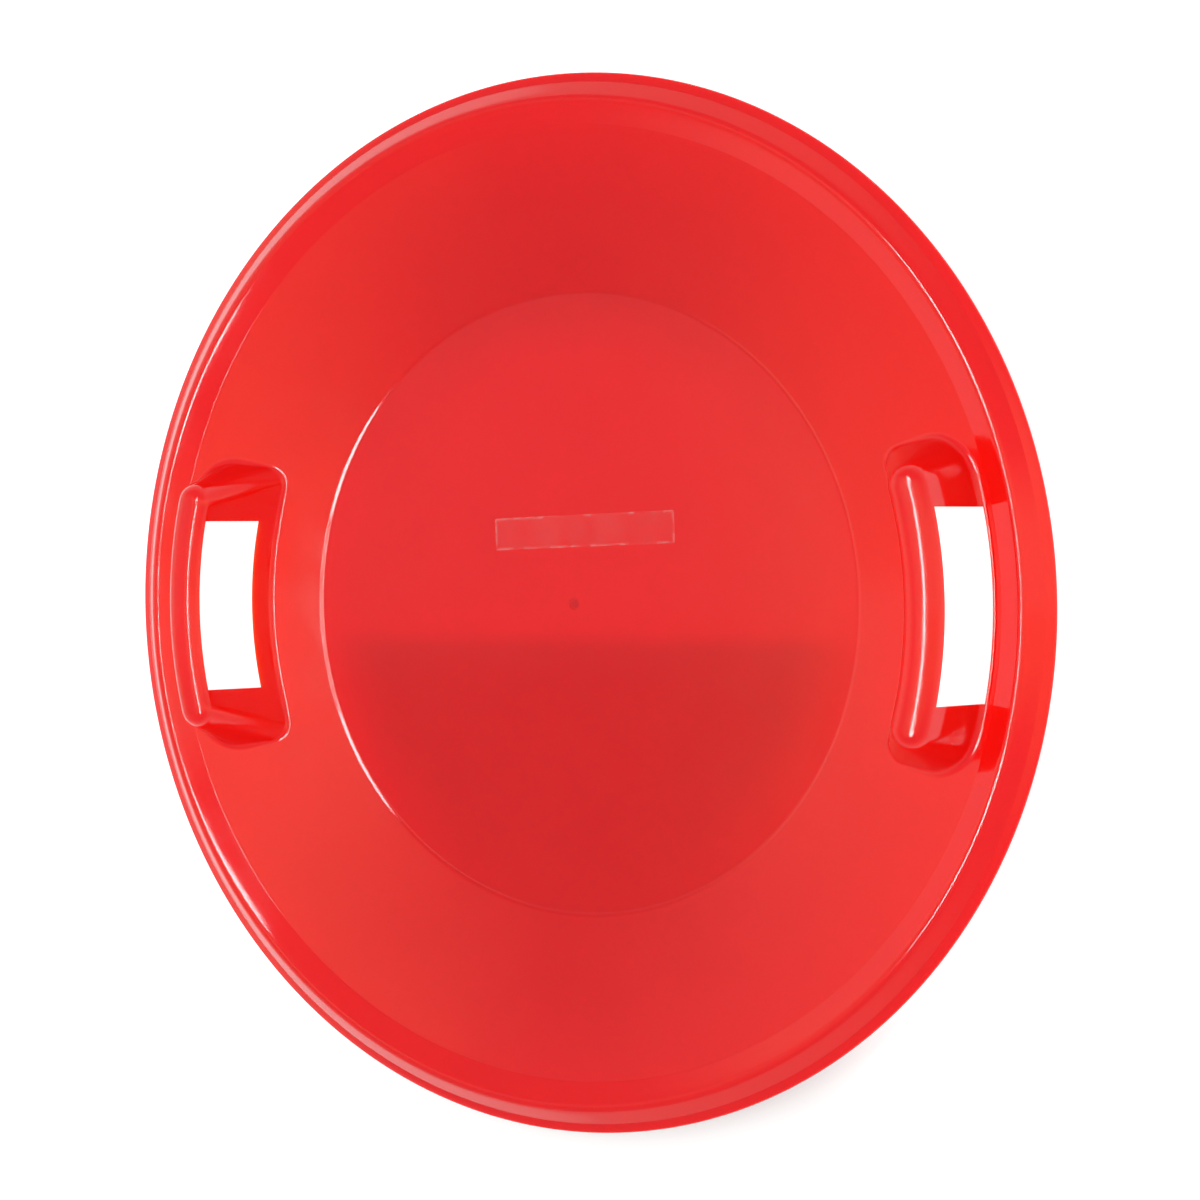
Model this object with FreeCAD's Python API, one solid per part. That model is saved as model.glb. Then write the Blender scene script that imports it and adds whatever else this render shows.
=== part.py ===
import FreeCAD, Part
import math
import os

# Saucer sled: a shallow dish with a turned-down rim and two raised hand grips, moulded in one piece,
# and a clear label film on its flat middle. It lies on the ground with the rider's side up, +Z, and
# has a grip at each end of X. Lengths are in millimetres, angles in degrees. Heights are taken from
# the ground, and the corners of the dish are taken before they are rounded.

# Dish and rim, with the widths of the flat lip, of the rim's fall and rise, and of the slope, whose
# first stretch rises more steeply out of the floor
sled_diameter = 660.0
wall = 3.0
lip_width = 6.0
lip_height = 32.5
rim_fall_width = 11.0
crest_height = 41.5
rim_rise_width = 7.5
slope_width = 108.5
slope_height = 34.0
floor_rise_width = 2.2
floor_rise_height = 1.0
floor_rounding = 5.0
floor_rise_rounding = 2.0
slope_rounding = 4.0
crest_rounding = 2.0
lip_rounding = 1.5

# Mark that the moulding leaves where the plastic entered
gate_diameter = 7.0
gate_depth = 0.4

# Hand grips, hollow from below, each set in from the top of the slope
grip_inset = 40.3
grip_length = 137.0
grip_height = 73.8
grip_rounding = 13.2
grip_draft = 20.5
grip_foot_rounding = 5.0

# Slots that the fingers go through, on both sides of the grip's middle line
slot_length = 112.0
slot_inner_width = 26.4
slot_outer_width = 27.3

# Label film
label_length = 131.5
label_width = 20.6
label_thickness = 0.2
label_corner = 1.0
label_across = 7.2
label_up = 46.4
label_turn = 1.5

# Reach of a cut past the faces that it passes through
overrun = 10.0

# How near an edge lies to the dish's slope, and to a grip, to count as a grip's foot, by the wall
near_slope_share = 0.25
near_grip_share = 0.01

# Worked out from the sizes above, with radii from the dish's axis
lip_circle = sled_diameter / 2 - lip_width
crest_circle = lip_circle - rim_fall_width
slope_circle = crest_circle - rim_rise_width
floor_circle = slope_circle - slope_width
rise_circle = floor_circle + floor_rise_width
rise_top = wall + floor_rise_height
grip_circle = slope_circle - grip_inset
grip_half_turn = math.degrees(math.asin(grip_length / 2 / grip_circle))
crown_centre = grip_height - grip_rounding
draft_sine = math.sin(math.radians(grip_draft))
draft_cosine = math.cos(math.radians(grip_draft))
slot_top = crown_centre + grip_rounding * draft_sine

up = FreeCAD.Vector(0, 0, 1)
origin = FreeCAD.Vector(0, 0, 0)


def in_section(point):
    """A point of the X-Z plane from its distance to the axis and its height."""
    return FreeCAD.Vector(point[0], 0, point[1])


def direction(start, end):
    """Unit direction from one point of a section to the next."""
    length = math.dist(start, end)
    return ((end[0] - start[0]) / length, (end[1] - start[1]) / length)


def corner_turn(corners, index):
    """How far an outline turns at a corner, in radians, left turns counted as positive."""
    before = direction(corners[index - 1], corners[index])
    after = direction(corners[index], corners[index + 1])
    return math.atan2(before[0] * after[1] - before[1] * after[0], before[0] * after[0] + before[1] * after[1])


def shifted_right(corners, distance):
    """Corners of the outline that runs at a distance to the right of an open outline."""
    shifted = []
    last = len(corners) - 1
    for index, corner in enumerate(corners):
        before = direction(corners[max(index - 1, 0)], corners[max(index, 1)])
        after = direction(corners[min(index, last - 1)], corners[min(index + 1, last)])
        sideways = (before[1] + after[1], -before[0] - after[0])
        stretch = distance / (1 + before[0] * after[0] + before[1] * after[1])
        shifted.append((corner[0] + sideways[0] * stretch, corner[1] + sideways[1] * stretch))
    return shifted


def rounded_edges(corners, radii):
    """Edges of an open outline, with each inner corner rounded by its radius."""
    edges = []
    start = corners[0]
    for index in range(1, len(corners) - 1):
        corner = corners[index]
        turn = corner_turn(corners, index)
        before = direction(corners[index - 1], corner)
        after = direction(corner, corners[index + 1])
        reach = radii[index - 1] * math.tan(abs(turn) / 2)
        to_middle = radii[index - 1] * (1 / math.cos(turn / 2) - 1)
        inwards = direction(before, after)
        entry = (corner[0] - before[0] * reach, corner[1] - before[1] * reach)
        middle = (corner[0] + inwards[0] * to_middle, corner[1] + inwards[1] * to_middle)
        leave = (corner[0] + after[0] * reach, corner[1] + after[1] * reach)
        edges.append(Part.makeLine(in_section(start), in_section(entry)))
        edges.append(Part.Arc(in_section(entry), in_section(middle), in_section(leave)).toShape())
        start = leave
    edges.append(Part.makeLine(in_section(start), in_section(corners[-1])))
    return edges


def closed_face(edges):
    """Face inside a closed outline."""
    return Part.Face(Part.Wire(Part.__sortEdges__(edges)))


def dish_outlines():
    """Outlines of the dish's rider's side and underside, each from the axis to the rim's edge."""
    top_corners = [
        (0, wall),
        (floor_circle, wall),
        (rise_circle, rise_top),
        (slope_circle, slope_height),
        (crest_circle, crest_height),
        (lip_circle, lip_height),
        (sled_diameter / 2 - wall / 2, lip_height),
    ]
    inner_radii = [floor_rounding, floor_rise_rounding, slope_rounding, crest_rounding, lip_rounding]
    top_radii = []
    under_radii = []
    for index, radius in enumerate(inner_radii):
        hollow_on_top = corner_turn(top_corners, index + 1) > 0
        top_radii.append(radius if hollow_on_top else radius + wall)
        under_radii.append(radius + wall if hollow_on_top else radius)
    under_corners = shifted_right(top_corners, wall)
    return top_corners, top_radii, under_corners, under_radii


def dish():
    """The plain saucer, a wall of even thickness turned about the axis, with a rounded edge."""
    top_corners, top_radii, under_corners, under_radii = dish_outlines()
    edges = rounded_edges(top_corners, top_radii) + rounded_edges(under_corners, under_radii)
    edges.append(Part.makeLine(in_section(under_corners[0]), in_section(top_corners[0])))
    tip = (sled_diameter / 2, lip_height - wall / 2)
    edge_ends = [in_section(top_corners[-1]), in_section(tip), in_section(under_corners[-1])]
    edges.append(Part.Arc(*edge_ends).toShape())
    return closed_face(edges).revolve(origin, up)


def space_over_underside():
    """All that lies over the underside of the dish, up to past the grips."""
    under_corners, under_radii = dish_outlines()[2:]
    ceiling = grip_height + overrun
    edges = rounded_edges(under_corners, under_radii)
    corners = [under_corners[-1], (under_corners[-1][0], ceiling), (0, ceiling), under_corners[0]]
    for start, end in zip(corners, corners[1:]):
        edges.append(Part.makeLine(in_section(start), in_section(end)))
    return closed_face(edges).revolve(origin, up)


def grip_levels(radius):
    """Sizes of a grip whose crown has this radius: reach and height of the flank's top, and its spread."""
    reach = radius * draft_cosine
    height = crown_centre + radius * draft_sine
    spread = (height + overrun) * draft_sine / draft_cosine
    return reach, height, spread


def grip_run(radius):
    """The grip's section, a round crown over two drafted flanks, swept along the rim at +X."""
    reach, height, spread = grip_levels(radius)
    inner_flank = in_section((grip_circle - reach, height))
    outer_flank = in_section((grip_circle + reach, height))
    inner_toe = in_section((grip_circle - reach - spread, -overrun))
    outer_toe = in_section((grip_circle + reach + spread, -overrun))
    crown = in_section((grip_circle, crown_centre + radius))
    section = closed_face([
        Part.Arc(inner_flank, crown, outer_flank).toShape(),
        Part.makeLine(outer_flank, outer_toe),
        Part.makeLine(outer_toe, inner_toe),
        Part.makeLine(inner_toe, inner_flank),
    ])
    section.rotate(origin, up, -grip_half_turn)
    return section.revolve(origin, up, 2 * grip_half_turn)


def grip_end_dome(radius):
    """Round top of a grip's end, turned about the end's own axis."""
    reach, height, spread = grip_levels(radius)
    half_way = math.radians(grip_draft + 90) / 2
    shoulder = (radius * math.cos(half_way), crown_centre + radius * math.sin(half_way))
    foot = in_section((0, height))
    flank = in_section((reach, height))
    crown = in_section((0, crown_centre + radius))
    half = closed_face([
        Part.makeLine(foot, flank),
        Part.Arc(flank, in_section(shoulder), crown).toShape(),
        Part.makeLine(crown, foot),
    ])
    return half.revolve(origin, up, 180)


def grip_end_outer_corner(radius):
    """Quarter of a grip's end on the rim's side, a cone."""
    reach, height, spread = grip_levels(radius)
    corners = [(0, height), (reach, height), (reach + spread, -overrun), (0, -overrun), (0, height)]
    half = Part.Face(Part.makePolygon([in_section(corner) for corner in corners]))
    return half.revolve(origin, up, 90)


def grip_end_inner_corner(radius):
    """Quarter of a grip's end on the rider's side, a flat flank and end wall with an even round corner."""
    reach, height, spread = grip_levels(radius)
    diagonal = reach * math.sqrt(0.5)
    top_axis = FreeCAD.Vector(0, 0, height)
    top_flank = FreeCAD.Vector(-reach, 0, height)
    top_middle = FreeCAD.Vector(-diagonal, diagonal, height)
    top_end = FreeCAD.Vector(0, reach, height)
    slant = FreeCAD.Vector(-spread, spread, -height - overrun)
    foot_axis = FreeCAD.Vector(0, 0, -overrun)
    foot_flank = FreeCAD.Vector(-reach - spread, 0, -overrun)
    foot_end = FreeCAD.Vector(0, reach + spread, -overrun)
    round_top = Part.Arc(top_flank, top_middle, top_end).toShape()
    round_foot = Part.Arc(top_flank + slant, top_middle + slant, top_end + slant).toShape()
    foot_lines = [
        Part.makeLine(top_end + slant, foot_end),
        Part.makeLine(foot_end, foot_axis),
        Part.makeLine(foot_axis, foot_flank),
        Part.makeLine(foot_flank, top_flank + slant),
    ]
    faces = [
        closed_face([Part.makeLine(top_axis, top_flank), round_top, Part.makeLine(top_end, top_axis)]),
        closed_face([round_foot] + foot_lines),
        round_top.extrude(slant),
        Part.Face(Part.makePolygon([top_flank, foot_flank, top_flank + slant, top_flank])),
        Part.Face(Part.makePolygon([top_end, top_end + slant, foot_end, top_end])),
        Part.Face(Part.makePolygon([top_axis, top_flank, foot_flank, foot_axis, top_axis])),
        Part.Face(Part.makePolygon([top_axis, top_end, foot_end, foot_axis, top_axis])),
    ]
    shell = Part.makeShell(faces)
    shell.sewShape()
    return Part.makeSolid(shell)


def grip_body(radius):
    """Solid grip at +X with a crown of this radius: a run along the rim and two alike ends."""
    pieces = []
    for piece in (grip_end_dome(radius), grip_end_outer_corner(radius), grip_end_inner_corner(radius)):
        piece.translate(FreeCAD.Vector(grip_circle, 0, 0))
        piece.rotate(origin, up, grip_half_turn)
        pieces.append(piece)
        pieces.append(piece.mirror(origin, FreeCAD.Vector(0, 1, 0)))
    return grip_run(radius).multiFuse(pieces).removeSplitter()


def slot_body():
    """What the finger slot at +X takes away, up to where the grip's crown begins."""
    height = slot_top + overrun
    floor = FreeCAD.Vector(0, 0, -overrun)
    ring = Part.makeCylinder(grip_circle + slot_outer_width, height, floor)
    ring = ring.cut(Part.makeCylinder(grip_circle - slot_inner_width, height, floor))
    corner = FreeCAD.Vector(0, -slot_length / 2, -overrun)
    return ring.common(Part.makeBox(sled_diameter / 2, slot_length, height, corner))


def turned_half_way(shape):
    """A copy of a shape on the other side of the axis."""
    copy = shape.copy()
    copy.rotate(origin, up, 180)
    return copy


def foot_edges(shape, grips):
    """Edges where the grips rise from the rider's side of the dish."""
    slope_rise = (slope_height - rise_top) / (slope_circle - rise_circle)
    found = []
    for edge in shape.Edges:
        middle = edge.valueAt((edge.FirstParameter + edge.LastParameter) / 2)
        across = math.hypot(middle.x, middle.y)
        slope = rise_top + (across - rise_circle) * slope_rise
        to_grip = min(grip.Shells[0].distToShape(Part.Vertex(middle))[0] for grip in grips)
        on_slope = abs(middle.z - slope) < wall * near_slope_share
        if on_slope and to_grip < wall * near_grip_share:
            found.append(edge)
    return found


def saucer():
    """The whole moulding: dish, hollow grips, finger slots and the gate mark."""
    grip = grip_body(grip_rounding)
    grips = [grip, turned_half_way(grip)]
    over_underside = space_over_underside()
    shape = dish().multiFuse([body.common(over_underside) for body in grips]).removeSplitter()
    shape = shape.makeFillet(grip_foot_rounding, foot_edges(shape, grips))
    hollow = grip_body(grip_rounding - wall)
    slot = slot_body()
    gate = Part.makeCylinder(gate_diameter / 2, wall, FreeCAD.Vector(0, 0, wall - gate_depth))
    return shape.cut([hollow, turned_half_way(hollow), slot, turned_half_way(slot), gate]).removeSplitter()


def label_film():
    """Clear label lying on the floor of the dish, with rounded corners."""
    corner = FreeCAD.Vector(-label_length / 2, -label_width / 2, wall)
    film = Part.makeBox(label_length, label_width, label_thickness, corner)
    upright = [edge for edge in film.Edges if edge.BoundBox.ZLength > label_thickness / 2]
    film = film.makeFillet(label_corner, upright)
    film.rotate(origin, up, label_turn)
    film.translate(FreeCAD.Vector(label_across, label_up, 0))
    return film


os.makedirs("parts", exist_ok=True)
pieces = {"saucer": saucer(), "label_film": label_film()}
for name, shape in pieces.items():
    shape.exportStep("parts/" + name + ".step")
    print(name, shape.isValid(), len(shape.Solids), round(shape.Volume), shape.BoundBox)
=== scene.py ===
import math

import bmesh
import bpy
from mathutils import Matrix, Vector


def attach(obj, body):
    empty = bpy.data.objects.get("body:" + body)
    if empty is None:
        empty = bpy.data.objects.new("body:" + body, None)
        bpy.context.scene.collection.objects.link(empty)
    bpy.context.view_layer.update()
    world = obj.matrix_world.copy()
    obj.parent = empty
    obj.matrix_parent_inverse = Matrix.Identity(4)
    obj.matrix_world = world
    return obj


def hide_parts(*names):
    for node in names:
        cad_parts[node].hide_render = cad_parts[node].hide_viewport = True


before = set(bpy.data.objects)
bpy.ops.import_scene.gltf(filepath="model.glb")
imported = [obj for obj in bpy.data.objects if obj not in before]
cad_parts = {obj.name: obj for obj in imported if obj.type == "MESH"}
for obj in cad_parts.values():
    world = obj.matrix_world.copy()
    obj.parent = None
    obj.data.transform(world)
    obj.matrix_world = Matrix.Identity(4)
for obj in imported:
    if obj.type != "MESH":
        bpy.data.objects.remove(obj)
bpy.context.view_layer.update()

# Sizes of the sled in millimetres, with circles given by their radii. They are those of its solids, but
# for a gentler rise to the crest, a lip that droops, and flatter crowns of the bars
millimetre = 0.001
sled_diameter = 660.0
wall = 3.0
floor_circle = 197.0
rise_circle = 199.2
rise_top = 4.0
slope_circle = 298.0
slope_height = 31.88
crest_circle = 313.0
crest_height = 41.35
lip_circle = 324.0
lip_height = 32.5
lip_droop = 1.5
lip_inset = 0.95
gate_diameter = 7.0
gate_depth = 0.4
grip_circle = 265.2
grip_length = 137.0
grip_height = 73.8
grip_rounding = 13.2
crown_half_width = 3.4
crown_bend = 80.0
grip_draft = math.radians(20.5)
grip_foot_rounding = 5.0
hollow_foot_rounding = 0.6
slot_length = 112.0
slot_inner_width = 26.4
slot_outer_width = 27.3
cut_edge_rounding = 0.4
cut_edge_cells = 2
cut_edge_angle = math.radians(35)

# Roundings of the corners of the dish's section, each on the hollow side of its corner
inner_radii = (5.0, 2.0, 0.0, 0.0, 1.0, 2.5, 1.5)

# Cells of the mesh. Each grip has a patch of the slope to itself, between two circles and two rays,
# whose border has as many cells as half of the grip's skin has columns
lathe_columns = 480
patch_columns = 35
patch_circles = (216.0, 296.0)
stretch_cells = (12, 1, 4, 24, 1, 3, 4, 2)
stretches_before_patch = 3
bends_before_patch = 2
gate_points = 2
arc_cells = 10
crown_cells = 12
flank_cells = (16, 6, 12)
apron_cells = 8
apron_reach = 5.0
column_pieces = (
    ("inner slot", 22), ("inner leg", 6), ("flank", 6), ("inner corner", 12), ("end wall", 6),
    ("outer corner", 14), ("outer leg", 6), ("outer slot", 22),
)

# Steps in which a place on a grip is found, a short way up its flank, and how close points are joined
solving_steps = 30
flank_step = 1.0
merge_distance = 0.000001

# Worked out from the sizes above
slope_rise = (slope_height - rise_top) / (slope_circle - rise_circle)
slope_drop = wall * math.hypot(1, slope_rise)
grip_half_turn = math.asin(grip_length / 2 / grip_circle)
crown_centre = grip_height - grip_rounding
slot_top = crown_centre + grip_rounding * math.sin(grip_draft)
crown_tilt = crown_half_width / crown_bend

# Camera at the photograph's viewing angle, for a square picture
camera_eye = Vector((0.8051, 0.0343, 1.3505))
camera_yaw = math.radians(30.26)
camera_pitch = math.radians(1.17)
camera_roll = math.radians(0.67)
camera_sensor = 36.0
camera_lens = 74.16

# Pale floor that also shines, as a light table does. Its glow changes with the place under the sled, and is
# dimmer just outside the rim in front, as a painted shadow
floor_gap = 0.0004
floor_size = 60.0
floor_grey = 0.45
floor_roughness = 0.8
glow_outside = 0.95
glow_in_painted_shadow = 0.55
glow_under_floor = 0.43
glow_under_sides = 0.66
glow_under_ends = 0.04
glow_under_slots = 0.95
glow_line = -0.023
glow_line_blur = 0.007
floor_ring = (0.150, 0.210)
rim_ring = (0.310, 0.328)
painted_shadow_ring = (0.338, 0.375)
slot_reach = (0.225, 0.245)
slot_half_length = (0.060, 0.085)

# Surroundings: an even cool white, a warm white on both sides of a dip in X, a panel and a pale horizon.
# The panel, and the warm white beyond the dip, fade out in the low band
world_even = 0.48
world_dip = 0.48
world_gain = 3.3
world_most = 0.6
world_width = (0.34, 0.62)
world_low_band = (0.24, 0.46)
world_right = (-0.50, -0.38)
world_right_most = 0.5
world_right_width = (0.14, 0.40)
panel_strength = 0.24
panel_front = (-0.06, -0.02)
panel_back = (0.15, 0.42)
horizon_strength = 0.52
horizon_band = (0.30, 0.50)
cool_white = (0.74, 0.92, 1.14, 1.0)
warm_white = (1.0, 0.97, 0.35, 1.0)
plain_white = (1.0, 1.0, 1.0, 1.0)
horizon_white = (1.0, 0.82, 0.62, 1.0)

# Lamps over the dish: a softbox that lights it, and a long oval one that only shines back from its gloss
fill_place = Vector((0.05, 0.0, 1.6))
fill_size = (0.34, 0.60)
fill_radiance = 15.5
oval_place = Vector((-0.045, 0.0, 1.6))
oval_size = (0.45, 1.50)
oval_radiance = 20.0
oval_share_of_box = math.pi / 4

# Label film, in millimetres
label_length = 131.5
label_width = 20.6
label_thickness = 0.2
label_corner = 1.0
label_across = 7.2
label_up = 46.4
label_turn = math.radians(1.5)
label_lift = 0.03

# Look of the film: a faint painted sheen over it, in clouds, and painted highlights along its edges, where
# it has come loose in places. Each noise has a scale and a detail
film_sheen_colour = (0.9, 0.45, 0.42, 1.0)
film_roughness = 0.22
film_sheen_cover = (0.012, 0.035)
film_edge = (0.0003, 0.0022)
edge_highlight_cover = 0.16
loose_highlight_noise = (160.0, 3.0)
loose_highlight_range = (0.42, 0.62)
sheen_noise = (60.0, 3.0)
sheen_range = (0.3, 0.7)

# Look of the plastic: its colours, how far light wanders in it, and the noises of its tone, gloss and skin
red = (0.80, 0.006, 0.0035, 1.0)
deep_red = (0.76, 0.005, 0.003, 1.0)
gate_red = (0.60, 0.003, 0.003, 1.0)
gate_darkening_reach = (0.0028, 0.0055)
wander = 0.009
wander_shares = (1.0, 0.7, 0.2)
plastic_ior = 1.5
patch_noise = (14.0, 3.0)
grain_noise = (420.0, 2.0)
grain_share = 0.35
tone_range = (0.35, 1.0)
smudge_noise = (35.0, 4.0)
smudge_range = (0.3, 0.75)
gloss_roughness = (0.06, 0.11)
ripple_noise = (22.0, 1.0)
peel_noise = (330.0, 1.0)
peel_share = 0.02
bump_distance = 0.00008

# Places of the colour sockets on a mix node
mix_colour_inputs = (6, 7)
mix_colour_output = 2


def shares(cells):
    """Shares from 0 to 1 at the ends of even cells."""
    return [index / cells for index in range(cells + 1)]


def arc(start, end, centre, cells):
    """Points along the arc from one point to another about a centre."""
    first = start - centre
    last = end - centre
    turn = first.angle(last)
    points = []
    for share in shares(cells):
        mix = first * math.sin((1 - share) * turn) + last * math.sin(share * turn)
        points.append(centre + mix / math.sin(turn))
    return points


def shifted_right(corners, distance):
    """Corners of the outline that runs at a distance to the right of an open outline."""
    shifted = []
    last = len(corners) - 1
    for index, corner in enumerate(corners):
        before = (corners[max(index, 1)] - corners[max(index - 1, 0)]).normalized()
        after = (corners[min(index + 1, last)] - corners[min(index, last - 1)]).normalized()
        along = before + after
        shifted.append(corner + Vector((along.y, -along.x)) * distance / (1 + before.dot(after)))
    return shifted


def rounded_outline(corners, radii):
    """Points of an open outline, with straight stretches in cells and inner corners rounded."""
    points = []
    start = corners[0]
    for index, cells in enumerate(stretch_cells):
        corner = corners[index + 1]
        radius = radii[index] if index < len(radii) else 0
        bend = []
        entry = corner
        leave = corner
        if radius:
            before = (corner - corners[index]).normalized()
            after = (corners[index + 2] - corner).normalized()
            half_turn = before.angle(after) / 2
            entry = corner - before * radius * math.tan(half_turn)
            leave = corner + after * radius * math.tan(half_turn)
            centre = corner + (after - before).normalized() * radius / math.cos(half_turn)
            bend = arc(entry, leave, centre, arc_cells)[:-1]
        points += [start.lerp(entry, share) for share in shares(cells)[:-1]] + bend
        start = leave
    return points + [start]


def slope_at(across, drop):
    """Height of the slope at a distance from the axis, on a skin that lies lower by a drop."""
    return rise_top + (across - rise_circle) * slope_rise - drop


def dish_corners():
    """Corners of the rider's side of the section, from the axis to the rim's edge."""
    corners = [(0, wall), (floor_circle, wall), (rise_circle, rise_top)]
    corners += [(across, slope_at(across, 0)) for across in patch_circles]
    corners += [(slope_circle, slope_height), (crest_circle, crest_height), (lip_circle, lip_height)]
    corners += [(sled_diameter / 2 - lip_inset, lip_height - lip_droop)]
    return [Vector(corner) for corner in corners]


def dish_outlines():
    """Points of the rider's side and of the underside, each from the axis to the rim's edge."""
    top_corners = dish_corners()
    under_corners = shifted_right(top_corners, wall)
    top_radii = []
    under_radii = []
    for index, radius in enumerate(inner_radii):
        before = top_corners[index + 1] - top_corners[index]
        after = top_corners[index + 2] - top_corners[index + 1]
        hollow_on_top = before.cross(after) > 0
        outer = radius + wall if radius else 0
        top_radii.append(radius if hollow_on_top else outer)
        under_radii.append(outer if hollow_on_top else radius)
    top_corners[0].x = gate_diameter / 2
    return rounded_outline(top_corners, top_radii), rounded_outline(under_corners, under_radii)


def dish_profile():
    """Section of the dish, from the axis over the rider's side, round the edge and back under it."""
    top, under = dish_outlines()
    gate = [Vector((0, wall - gate_depth)), Vector((gate_diameter / 2, wall - gate_depth))]
    middle = (top[-1] + under[-1]) / 2
    tip = middle + (top[-1] - top[-2]).normalized() * wall / 2
    edge = arc(top[-1], tip, middle, arc_cells // 2)[1:] + arc(tip, under[-1], middle, arc_cells // 2)[1:-1]
    return gate + top + edge + under[::-1]


def patch_rings(profile):
    """Where the slope's patch begins and ends in the section, on the rider's side and on the underside."""
    cells = stretch_cells[stretches_before_patch]
    lead = sum(stretch_cells[:stretches_before_patch]) + bends_before_patch * arc_cells
    before = gate_points + lead
    after = len(profile) - 1 - lead
    return (before, before + cells), (after - cells, after)


def turned(across, turn, height):
    """Point at a distance from the axis, a turn from X and a height."""
    return Vector((across * math.cos(turn), across * math.sin(turn), height))


def in_grip_patch(column):
    """Whether a column of cells of the dish belongs to a grip's patch."""
    from_grip = (column + lathe_columns // 4) % (lathe_columns // 2) - lathe_columns // 4
    return -patch_columns <= from_grip < patch_columns


def dish_mesh(profile):
    """Points and faces of the dish without the grips' patches."""
    points = []
    faces = []
    step = 2 * math.pi / lathe_columns
    for column in range(lathe_columns):
        points += [turned(spot.x, column * step, spot.y) for spot in profile]
    rings = len(profile)
    patches = patch_rings(profile)
    for column in range(lathe_columns):
        here = column * rings
        there = (column + 1) % lathe_columns * rings
        for ring in range(rings - 1):
            on_patch = any(first <= ring < last for first, last in patches)
            if not (on_patch and in_grip_patch(column)):
                faces.append((here + ring, there + ring, there + ring + 1, here + ring + 1))
    return points, faces


def grip_columns():
    """Columns of half of a grip's skin, from its inner middle round one end to its outer middle."""
    columns = [("inner slot", 0.0)]
    for piece, cells in column_pieces:
        for share in shares(cells)[1:]:
            columns.append((piece, share))
    return columns


def in_plan(column, level, reach):
    """Place in plan of a grip's column at a level, the distance from the grip's middle line."""
    piece, share = column
    side, part = piece.split()[0], piece.split()[-1]
    if part in ("slot", "leg"):
        across = grip_circle - level if side == "inner" else grip_circle + level
        slot_turn = math.asin(slot_length / 2 / across)
        from_middle = share if side == "inner" else 1 - share
        turn = from_middle * slot_turn
        if part == "leg":
            turn = slot_turn + from_middle * (grip_half_turn - slot_turn)
        return Vector((across * math.cos(turn), across * math.sin(turn)))
    crown = min(level, reach)
    spread = level - crown
    angle = share * math.pi / 2
    local = {
        "flank": (-level, share * spread),
        "inner corner": (-spread - crown * math.cos(angle), spread + crown * math.sin(angle)),
        "end wall": ((share - 1) * spread, level),
        "outer corner": (level * math.sin(angle), level * math.cos(angle)),
    }[piece]
    return Matrix.Rotation(grip_half_turn, 2) @ (Vector(local) + Vector((grip_circle, 0)))


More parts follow.
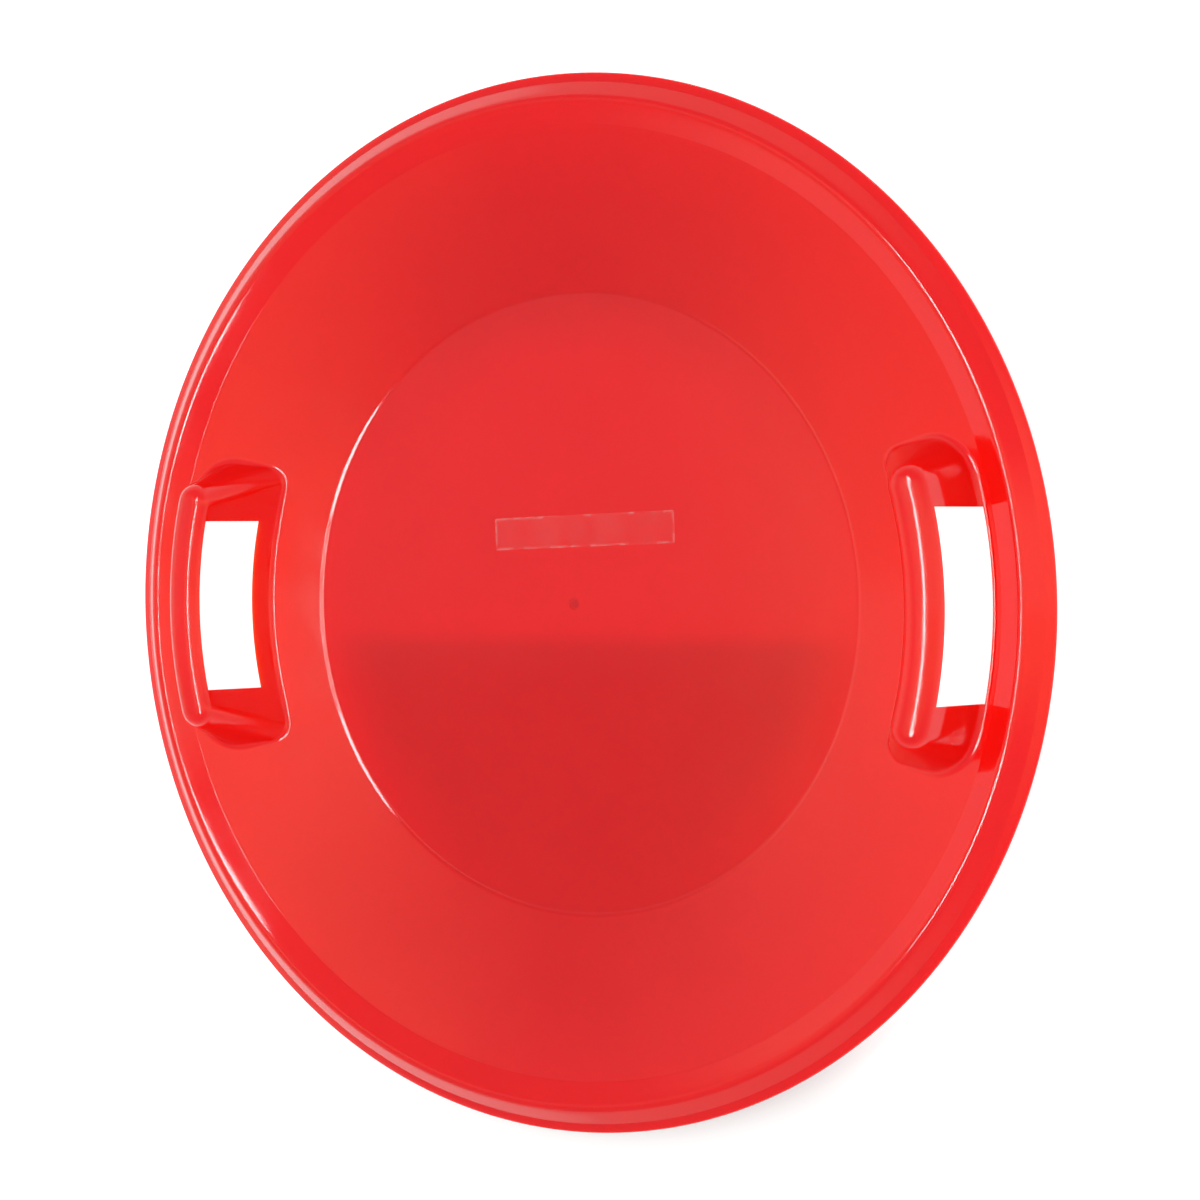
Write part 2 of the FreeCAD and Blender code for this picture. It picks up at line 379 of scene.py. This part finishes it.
class GripColumn:
    """Path of one column of a grip's skin, down its flank, over its rounded foot and onto the slope."""

    def __init__(self, column, radius, drop, foot):
        self.column = column
        self.radius = radius
        self.drop = drop
        self.reach = radius * math.cos(grip_draft)
        self.first_level = math.sqrt(radius ** 2 - (slot_top - crown_centre) ** 2)
        self.round_foot(self.toe_level(), foot)

    def toe_level(self):
        """Level at which the flank would meet the slope."""
        level = self.reach
        flank_top = crown_centre + self.radius * math.sin(grip_draft)
        for step in range(solving_steps):
            flank_height = flank_top - slope_at(self.at_level(level).xy.length, self.drop)
            level = self.reach + flank_height * math.tan(grip_draft)
        return level

    def round_foot(self, toe_level, foot):
        """Places the bend between the flank and the slope."""
        self.toe = self.at_level(toe_level)
        rise = self.at_level(toe_level - flank_step) - self.toe
        up = rise.normalized()
        self.heading = -up.xy.normalized()
        self.climb = slope_rise * self.heading.dot(self.toe.xy.normalized())
        out = Vector((self.heading.x, self.heading.y, self.climb)).normalized()
        half = up.angle(out) / 2
        self.tangent = foot / math.tan(half)
        self.foot_level = toe_level - flank_step * self.tangent / rise.length
        self.foot_start = self.toe + up * self.tangent
        self.foot_end = self.toe + out * self.tangent
        self.foot_centre = self.toe + (up + out).normalized() * self.tangent / math.cos(half)

    def at_level(self, level):
        """Point of the crown or flank at a distance from the grip's middle line."""
        spot = in_plan(self.column, level, self.reach)
        height = crown_centre + self.radius * math.sin(grip_draft)
        if level < self.reach:
            height += self.over_edge(level)
        else:
            height -= (level - self.reach) / math.tan(grip_draft)
        return Vector((spot.x, spot.y, height))

    def over_edge(self, level):
        """Height of the crown over its lower edge: nearly flat in the middle, with a round shoulder."""
        shoulder = (self.reach - crown_half_width) / (math.cos(grip_draft) - math.sin(crown_tilt))
        flat_edge = shoulder * (math.cos(crown_tilt) - math.sin(grip_draft))
        if level < crown_half_width:
            return flat_edge + (crown_half_width ** 2 - level ** 2) / (2 * crown_bend)
        run = level - crown_half_width + shoulder * math.sin(crown_tilt)
        return math.sqrt(shoulder ** 2 - run ** 2) - shoulder * math.sin(grip_draft)

    def crown(self):
        """Points from the top of the crown to just over its lower edge."""
        half_turn = math.asin(self.first_level / self.radius)
        levels = [self.radius * math.sin(share * half_turn) for share in shares(crown_cells)[:-1]]
        return [self.at_level(level) for level in levels]

    def along(self, place):
        """Point at a place on the path: 0 to 1 down the flank, to 2 over the foot, to 3 along the slope."""
        if place <= 1:
            return self.at_level(self.first_level + place * (self.foot_level - self.first_level))
        if place < 2:
            first = self.foot_start - self.foot_centre
            last = self.foot_end - self.foot_centre
            turn = first.angle(last)
            mix = first * math.sin((2 - place) * turn) + last * math.sin((place - 1) * turn)
            return self.foot_centre + mix / math.sin(turn)
        distance = self.tangent + (place - 2) * (apron_reach - self.tangent)
        spot = self.toe.xy + self.heading * distance / math.hypot(1, self.climb)
        return Vector((spot.x, spot.y, slope_at(spot.length, self.drop)))

    def place_at(self, across):
        """Place on the path, past the flank, at a distance from the axis."""
        low, high = 1.0, 3.0
        for halving in range(solving_steps):
            middle = (low + high) / 2
            if self.along(middle).xy.length < across:
                low = middle
            else:
                high = middle
        return low

    def stations(self):
        """Places on the path of the slot's edge and of the foot, in their order."""
        if self.column[0].startswith("inner"):
            cut = (slot_inner_width - self.first_level) / (self.foot_level - self.first_level)
            return Vector((cut, 1.0))
        return Vector((1.0, self.place_at(grip_circle + slot_outer_width)))


def patch_border(outline_points):
    """Half of a patch's border, as distances from the axis and turns, in the order of the columns."""
    step = 2 * math.pi / lathe_columns
    across = [spot.x for spot in outline_points]
    border = [(across[0], column * step) for column in range(patch_columns)]
    border += [(value, patch_columns * step) for value in across]
    border += [(across[-1], column * step) for column in range(patch_columns - 1, -1, -1)]
    return border


def apron(edge, border_point, drop):
    """Points on the slope from the end of a grip's path to the patch's border."""
    edge_across = edge.xy.length
    edge_turn = math.atan2(edge.y, edge.x)
    points = []
    for share in shares(apron_cells):
        across = edge_across + share * (border_point[0] - edge_across)
        turn = edge_turn + share * (border_point[1] - edge_turn)
        points.append(turned(across, turn, slope_at(across, drop)))
    return points


def grip_skin(radius, drop, foot, border):
    """Rows of points of half of a grip's skin, one row for each column."""
    paths = [GripColumn(column, radius, drop, foot) for column in grip_columns()]
    arms = column_pieces[0][1] + column_pieces[1][1]
    ends = len(paths) - 1 - 2 * arms
    inner_places = paths[arms].stations()
    outer_places = paths[-arms].stations()
    rows = []
    for index, path in enumerate(paths):
        if index <= arms or index > arms + ends:
            first, second = path.stations()
        else:
            first, second = inner_places.lerp(outer_places, (index - arms) / ends)
        row = path.crown()
        for start, end, cells in zip((0, first, second), (first, second, 3), flank_cells):
            row += [path.along(start + share * (end - start)) for share in shares(cells)[:-1]]
        rows.append(row + apron(path.along(3), border[index], drop))
    return rows


def mirrored_loop(rows):
    """The whole loop of columns from half of it, the other half mirrored across X."""
    flip = Matrix.Scale(-1, 3, Vector((0, 1, 0)))
    return rows + [[flip @ point for point in row] for row in rows[-2:0:-1]]


def slot_cells(columns):
    """Cells of a grip's skin that its slot takes away, as pairs of column and ring."""
    half = columns // 2
    slot_columns = column_pieces[0][1]
    first = crown_cells
    inner_last = first + flank_cells[0]
    outer_last = inner_last + flank_cells[1]
    cells = set()
    for column in range(columns):
        from_middle = min(column, columns - 1 - column)
        if from_middle < slot_columns:
            cells |= {(column, ring) for ring in range(first, inner_last)}
        if from_middle >= half - slot_columns:
            cells |= {(column, ring) for ring in range(first, outer_last)}
    return cells


def grip_faces(columns, rings):
    """Faces of a grip's outer and inner skin without the slot, and of the slot's walls between them."""
    taken = slot_cells(columns)
    inner = columns * rings
    faces = []
    borders = {}
    for column in range(columns):
        here = column * rings
        there = (column + 1) % columns * rings
        for ring in range(rings - 1):
            face = (here + ring, there + ring, there + ring + 1, here + ring + 1)
            if (column, ring) not in taken:
                faces += [face, tuple(inner + corner for corner in face)]
                continue
            for pair in zip(face, face[1:] + face[:1]):
                key = tuple(sorted(pair))
                borders[key] = borders.get(key, 0) + 1
    for (start, end), count in borders.items():
        if count == 1:
            faces.append((start, end, inner + end, inner + start))
    return faces


def grip_mesh(profile):
    """Points and faces of one grip with its patch of the slope, both skins and the slot's walls."""
    top_rings, under_rings = patch_rings(profile)
    top_border = patch_border(profile[top_rings[0]:top_rings[1] + 1])
    under_border = patch_border(profile[under_rings[0]:under_rings[1] + 1][::-1])
    skins = [
        mirrored_loop(grip_skin(grip_rounding, 0, grip_foot_rounding, top_border)),
        mirrored_loop(grip_skin(grip_rounding - wall, slope_drop, hollow_foot_rounding, under_border)),
    ]
    points = [point for skin in skins for row in skin for point in row]
    return points, grip_faces(len(skins[0]), len(skins[0][0]))


def join_up(mesh):
    """Joins the parts of a mesh where they meet, and makes it smooth."""
    shape = bmesh.new()
    shape.from_mesh(mesh)
    unused = [point for point in shape.verts if not point.link_faces]
    bmesh.ops.delete(shape, geom=unused, context="VERTS")
    bmesh.ops.remove_doubles(shape, verts=shape.verts, dist=merge_distance)
    bmesh.ops.recalc_face_normals(shape, faces=shape.faces)
    for face in shape.faces:
        face.smooth = True
    shape.to_mesh(mesh)
    shape.free()


def saucer_mesh():
    """Fine mesh of the whole moulding, in metres."""
    profile = dish_profile()
    points, faces = dish_mesh(profile)
    one_grip_points, one_grip_faces = grip_mesh(profile)
    for turn in (0, math.pi):
        start = len(points)
        points += [Matrix.Rotation(turn, 3, "Z") @ point for point in one_grip_points]
        faces += [tuple(start + corner for corner in face) for face in one_grip_faces]
    mesh = bpy.data.meshes.new("saucer_moulding")
    mesh.from_pydata([point * millimetre for point in points], [], faces)
    join_up(mesh)
    return mesh


def node_tree(owner):
    """Empty node tree of a material or world, with its output node."""
    owner.use_nodes = True
    owner.node_tree.nodes.clear()
    kind = "ShaderNodeOutputWorld" if isinstance(owner, bpy.types.World) else "ShaderNodeOutputMaterial"
    return owner.node_tree, owner.node_tree.nodes.new(kind)


def feed(tree, socket, value):
    """Links a socket to another node's output, or sets its value."""
    if isinstance(value, bpy.types.NodeSocket):
        tree.links.new(value, socket)
    else:
        socket.default_value = value


def split_up(tree, place):
    """The three coordinates of a place."""
    node = tree.nodes.new("ShaderNodeSeparateXYZ")
    tree.links.new(place, node.inputs["Vector"])
    return node.outputs["X"], node.outputs["Y"], node.outputs["Z"]


def calculate(tree, operation, *values):
    """Result of a math node."""
    node = tree.nodes.new("ShaderNodeMath")
    node.operation = operation
    for socket, value in zip(node.inputs, values):
        feed(tree, socket, value)
    return node.outputs["Value"]


def squared(tree, value):
    """Square of a value."""
    return calculate(tree, "POWER", value, 2.0)


def ramp_between(tree, value, low, high, first=0.0, last=1.0):
    """Smooth change from a first to a last value as an input goes from low to high."""
    node = tree.nodes.new("ShaderNodeMapRange")
    node.interpolation_type = "SMOOTHSTEP"
    feed(tree, node.inputs["Value"], value)
    limits = {"From Min": low, "From Max": high, "To Min": first, "To Max": last}
    for name, limit in limits.items():
        feed(tree, node.inputs[name], limit)
    return node.outputs["Result"]


def mixed(tree, share, first, last):
    """Value between a first and a last one."""
    node = tree.nodes.new("ShaderNodeMix")
    feed(tree, node.inputs["Factor"], share)
    feed(tree, node.inputs["A"], first)
    feed(tree, node.inputs["B"], last)
    return node.outputs["Result"]


def mixed_colour(tree, share, first, last):
    """Colour between a first and a last one."""
    node = tree.nodes.new("ShaderNodeMix")
    node.data_type = "RGBA"
    feed(tree, node.inputs["Factor"], share)
    for index, colour in zip(mix_colour_inputs, (first, last)):
        feed(tree, node.inputs[index], colour)
    return node.outputs[mix_colour_output]


def noise(tree, place, scale, detail):
    """Soft noise from 0 to 1."""
    node = tree.nodes.new("ShaderNodeTexNoise")
    tree.links.new(place, node.inputs["Vector"])
    node.inputs["Scale"].default_value = scale
    node.inputs["Detail"].default_value = detail
    return node.outputs["Fac"]


def backdrop(tree, colour, strength):
    """Light from far away, of a colour and strength."""
    node = tree.nodes.new("ShaderNodeBackground")
    feed(tree, node.inputs["Color"], colour)
    feed(tree, node.inputs["Strength"], strength)
    return node.outputs["Background"]


def added(tree, first, second):
    """Sum of two shaders."""
    node = tree.nodes.new("ShaderNodeAddShader")
    tree.links.new(first, node.inputs[0])
    tree.links.new(second, node.inputs[1])
    return node.outputs["Shader"]


def make_camera():
    """Camera that frames the sled as the photograph does."""
    camera = bpy.data.objects.new("camera", bpy.data.cameras.new("camera"))
    camera.data.sensor_width = camera_sensor
    camera.data.lens = camera_lens
    turn = Matrix.Rotation(camera_yaw, 4, "Y")
    turn @= Matrix.Rotation(-camera_pitch, 4, "X")
    turn @= Matrix.Rotation(-camera_roll, 4, "Z")
    camera.matrix_world = Matrix.Translation(camera_eye) @ turn
    bpy.context.scene.collection.objects.link(camera)
    bpy.context.scene.camera = camera


def glow_under_slope(tree, along, up, across):
    """Strength of the floor's glow under the slope, with a bright place under each slot."""
    sideways = squared(tree, calculate(tree, "DIVIDE", along, across))
    under_slope = mixed(tree, sideways, glow_under_ends, glow_under_sides)
    slot_ends = ramp_between(tree, calculate(tree, "ABSOLUTE", up), *slot_half_length, 1.0, 0.0)
    slots = calculate(tree, "MULTIPLY", slot_ends, ramp_between(tree, across, *slot_reach))
    return mixed(tree, slots, under_slope, glow_under_slots)


def floor_glow(tree):
    """Strength of the floor's glow, under the sled and outside, where it is dimmer in front as a painted
    shadow.
    """
    along, up, height = split_up(tree, tree.nodes.new("ShaderNodeNewGeometry").outputs["Position"])
    across = calculate(tree, "SQRT", calculate(tree, "ADD", squared(tree, along), squared(tree, up)))
    under_slope = glow_under_slope(tree, along, up, across)
    line = (glow_line - glow_line_blur, glow_line + glow_line_blur)
    under_floor = ramp_between(tree, up, *line, 0.0, glow_under_floor)
    under_sled = mixed(tree, ramp_between(tree, across, *floor_ring), under_floor, under_slope)
    # Painted shadow: the glow is dimmer in a band just outside the rim, in front
    to_front = ramp_between(tree, up, -rim_ring[0], -floor_ring[1], 1.0, 0.0)
    painted_shadow = calculate(tree, "MULTIPLY", to_front, ramp_between(tree, across, *painted_shadow_ring, 1.0, 0.0))
    outside = mixed(tree, painted_shadow, glow_outside, glow_in_painted_shadow)
    return mixed(tree, ramp_between(tree, across, *rim_ring), under_sled, outside)


def floor_material():
    """Pale floor with a glow that shows through the plastic."""
    material = bpy.data.materials.new("floor_white")
    tree, output = node_tree(material)
    shader = tree.nodes.new("ShaderNodeBsdfPrincipled")
    shader.inputs["Base Color"].default_value = (floor_grey, floor_grey, floor_grey, 1.0)
    shader.inputs["Roughness"].default_value = floor_roughness
    shader.inputs["Specular IOR Level"].default_value = 0.0
    shader.inputs["Emission Color"].default_value = plain_white
    tree.links.new(floor_glow(tree), shader.inputs["Emission Strength"])
    tree.links.new(shader.outputs["BSDF"], output.inputs["Surface"])
    return material


def make_floor():
    """Level floor just under the sled."""
    mesh = bpy.data.meshes.new("floor")
    half = floor_size / 2
    corners = [(-half, -half), (half, -half), (half, half), (-half, half)]
    mesh.from_pydata([(x, y, -floor_gap) for x, y in corners], [], [(0, 1, 2, 3)])
    floor = bpy.data.objects.new("floor", mesh)
    mesh.materials.append(floor_material())
    bpy.context.scene.collection.objects.link(floor)


def warm_strength(tree, along, sideways, over_low):
    """Strength of the warm white, which grows beyond the dip in X and has a patch on its near side."""
    from_dip = squared(tree, calculate(tree, "MINIMUM", calculate(tree, "ADD", along, world_dip), 0.0))
    lift = calculate(tree, "MINIMUM", calculate(tree, "MULTIPLY", from_dip, world_gain), world_most)
    lift = calculate(tree, "MULTIPLY", lift, ramp_between(tree, sideways, *world_width, 1.0, 0.0))
    lift = calculate(tree, "MULTIPLY", lift, over_low)
    right = ramp_between(tree, along, *world_right, 0.0, world_right_most)
    right = calculate(tree, "MULTIPLY", right, ramp_between(tree, sideways, *world_right_width, 1.0, 0.0))
    return calculate(tree, "ADD", lift, right)


def panel_light(tree, up, over_low):
    """Strength of the panel, which has a sharp front edge and a soft back edge."""
    front = ramp_between(tree, up, *panel_front, 0.0, panel_strength)
    back = ramp_between(tree, up, *panel_back, 1.0, 0.0)
    return calculate(tree, "MULTIPLY", calculate(tree, "MULTIPLY", front, back), over_low)


def make_world():
    """Soft white surroundings."""
    world = bpy.data.worlds.new("studio")
    tree, output = node_tree(world)
    along, up, high = split_up(tree, tree.nodes.new("ShaderNodeTexCoord").outputs["Generated"])
    over_low = ramp_between(tree, high, *world_low_band)
    warm = warm_strength(tree, along, calculate(tree, "ABSOLUTE", up), over_low)
    horizon = ramp_between(tree, high, *horizon_band, horizon_strength, 0.0)
    sky = backdrop(tree, cool_white, world_even)
    sky = added(tree, sky, backdrop(tree, warm_white, warm))
    sky = added(tree, sky, backdrop(tree, plain_white, panel_light(tree, up, over_low)))
    sky = added(tree, sky, backdrop(tree, horizon_white, horizon))
    tree.links.new(sky, output.inputs["Surface"])
    bpy.context.scene.world = world


def make_lamp(name, shape, place, size, energy):
    """Lamp that shines down, hidden from the camera."""
    light = bpy.data.lights.new(name, "AREA")
    light.shape = shape
    light.size, light.size_y = size
    light.energy = energy
    lamp = bpy.data.objects.new(name, light)
    lamp.location = place
    lamp.visible_camera = False
    bpy.context.scene.collection.objects.link(lamp)
    return lamp


def make_lamps():
    """Lamp for the matt part of the light and lamp for its gloss."""
    energy = fill_radiance * math.pi * fill_size[0] * fill_size[1]
    fill = make_lamp("fill", "RECTANGLE", fill_place, fill_size, energy)
    fill.visible_glossy = False
    energy = oval_radiance * math.pi * oval_size[0] * oval_size[1] * oval_share_of_box
    oval = make_lamp("oval", "ELLIPSE", oval_place, oval_size, energy)
    oval.visible_diffuse = False
    oval.visible_transmission = False


def plastic_colour(tree, place):
    """Red that varies a little and is darker at the gate mark."""
    patches = noise(tree, place, *patch_noise)
    grain = noise(tree, place, *grain_noise)
    tone = ramp_between(tree, calculate(tree, "MULTIPLY_ADD", grain, grain_share, patches), *tone_range)
    from_gate = tree.nodes.new("ShaderNodeVectorMath")
    from_gate.operation = "LENGTH"
    tree.links.new(place, from_gate.inputs[0])
    darker_at_gate = ramp_between(tree, from_gate.outputs["Value"], *gate_darkening_reach, 1.0, 0.0)
    return mixed_colour(tree, darker_at_gate, mixed_colour(tree, tone, red, deep_red), gate_red)


def plastic_skin(tree, place):
    """Slight ripples and grain of the moulded skin."""
    ripple = noise(tree, place, *ripple_noise)
    peel = noise(tree, place, *peel_noise)
    bump = tree.nodes.new("ShaderNodeBump")
    bump.inputs["Distance"].default_value = bump_distance
    bump.inputs["Strength"].default_value = 1.0
    feed(tree, bump.inputs["Height"], calculate(tree, "MULTIPLY_ADD", peel, peel_share, ripple))
    return bump.outputs["Normal"]


def red_plastic():
    """Glossy, slightly translucent red polyethylene."""
    material = bpy.data.materials.new("red_plastic")
    tree, output = node_tree(material)
    place = tree.nodes.new("ShaderNodeTexCoord").outputs["Object"]
    smudges = noise(tree, place, *smudge_noise)
    shader = tree.nodes.new("ShaderNodeBsdfPrincipled")
    shader.inputs["IOR"].default_value = plastic_ior
    shader.inputs["Subsurface Weight"].default_value = 1.0
    shader.inputs["Subsurface Radius"].default_value = wander_shares
    shader.inputs["Subsurface Scale"].default_value = wander
    tree.links.new(plastic_colour(tree, place), shader.inputs["Base Color"])
    tree.links.new(ramp_between(tree, smudges, *smudge_range, *gloss_roughness), shader.inputs["Roughness"])
    tree.links.new(plastic_skin(tree, place), shader.inputs["Normal"])
    tree.links.new(shader.outputs["BSDF"], output.inputs["Surface"])
    return material


def make_saucer():
    """The moulding in red plastic, with lightly rounded slot edges."""
    saucer = bpy.data.objects.new("saucer_moulding", saucer_mesh())
    saucer.data.materials.append(red_plastic())
    bpy.context.scene.collection.objects.link(saucer)
    bevel = saucer.modifiers.new("cut_edges", "BEVEL")
    bevel.width = cut_edge_rounding * millimetre
    bevel.segments = cut_edge_cells
    bevel.limit_method = "ANGLE"
    bevel.angle_limit = cut_edge_angle
    bevel.harden_normals = True
    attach(saucer, "root")
    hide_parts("saucer")


def label_outline():
    """Corner points of the film in plan, in place on the dish's floor."""
    half = Vector((label_length / 2 - label_corner, label_width / 2 - label_corner))
    outline = []
    for quarter, (side, end) in enumerate(((1, 1), (-1, 1), (-1, -1), (1, -1))):
        for share in shares(arc_cells):
            turn = (quarter + share) * math.pi / 2
            corner = Vector((side * half.x, end * half.y))
            outline.append(corner + label_corner * Vector((math.cos(turn), math.sin(turn))))
    place = Vector((label_across, label_up))
    return [Matrix.Rotation(label_turn, 2) @ point + place for point in outline]


def label_mesh():
    """Thin closed sheet with rounded corners, in metres, just clear of the dish's floor."""
    outline = label_outline()
    count = len(outline)
    heights = (wall + label_lift, wall + label_thickness)
    points = [Vector((point.x, point.y, height)) for height in heights for point in outline]
    faces = [tuple(range(count))[::-1], tuple(range(count, 2 * count))]
    for index in range(count):
        after = (index + 1) % count
        faces.append((index, after, count + after, count + index))
    mesh = bpy.data.meshes.new("label_sheet")
    mesh.from_pydata([point * millimetre for point in points], [], faces)
    return mesh


def film_edges(tree, place):
    """How near to an edge of the film a place is, from 0 well inside it to 1."""
    mapping = tree.nodes.new("ShaderNodeMapping")
    mapping.vector_type = "TEXTURE"
    mapping.inputs["Location"].default_value = Vector((label_across, label_up, 0)) * millimetre
    mapping.inputs["Rotation"].default_value = (0, 0, label_turn)
    tree.links.new(place, mapping.inputs["Vector"])
    along, up, height = split_up(tree, mapping.outputs["Vector"])
    edges = []
    for way, length in ((along, label_length), (up, label_width)):
        from_middle = calculate(tree, "ABSOLUTE", way)
        inside = calculate(tree, "SUBTRACT", length / 2 * millimetre, from_middle)
        edges.append(ramp_between(tree, inside, *film_edge, 1.0, 0.0))
    return calculate(tree, "MAXIMUM", *edges)


def clear_film():
    """Clear film with a faint painted sheen, and painted highlights at its edges, where it has come loose
    in places.
    """
    material = bpy.data.materials.new("clear_film")
    tree, output = node_tree(material)
    place = tree.nodes.new("ShaderNodeTexCoord").outputs["Object"]
    loose = ramp_between(tree, noise(tree, place, *loose_highlight_noise), *loose_highlight_range)
    loose_edge_highlights = calculate(tree, "MULTIPLY", film_edges(tree, place), loose)
    painted_sheen = ramp_between(tree, noise(tree, place, *sheen_noise), *sheen_range, *film_sheen_cover)
    shader = tree.nodes.new("ShaderNodeBsdfPrincipled")
    shader.inputs["Base Color"].default_value = film_sheen_colour
    shader.inputs["Roughness"].default_value = film_roughness
    # Painted sheen over the film, with painted highlights along its loose edges
    sheen_and_highlights = calculate(tree, "MULTIPLY_ADD", loose_edge_highlights, edge_highlight_cover, painted_sheen)
    tree.links.new(sheen_and_highlights, shader.inputs["Alpha"])
    tree.links.new(shader.outputs["BSDF"], output.inputs["Surface"])
    return material


def make_label():
    """The bare label film on the dish's floor."""
    label = bpy.data.objects.new("label_sheet", label_mesh())
    label.data.materials.append(clear_film())
    bpy.context.scene.collection.objects.link(label)
    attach(label, "root")
    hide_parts("label_film")


bpy.context.scene.view_settings.view_transform = "Standard"
make_camera()
make_floor()
make_world()
make_lamps()
make_saucer()
make_label()
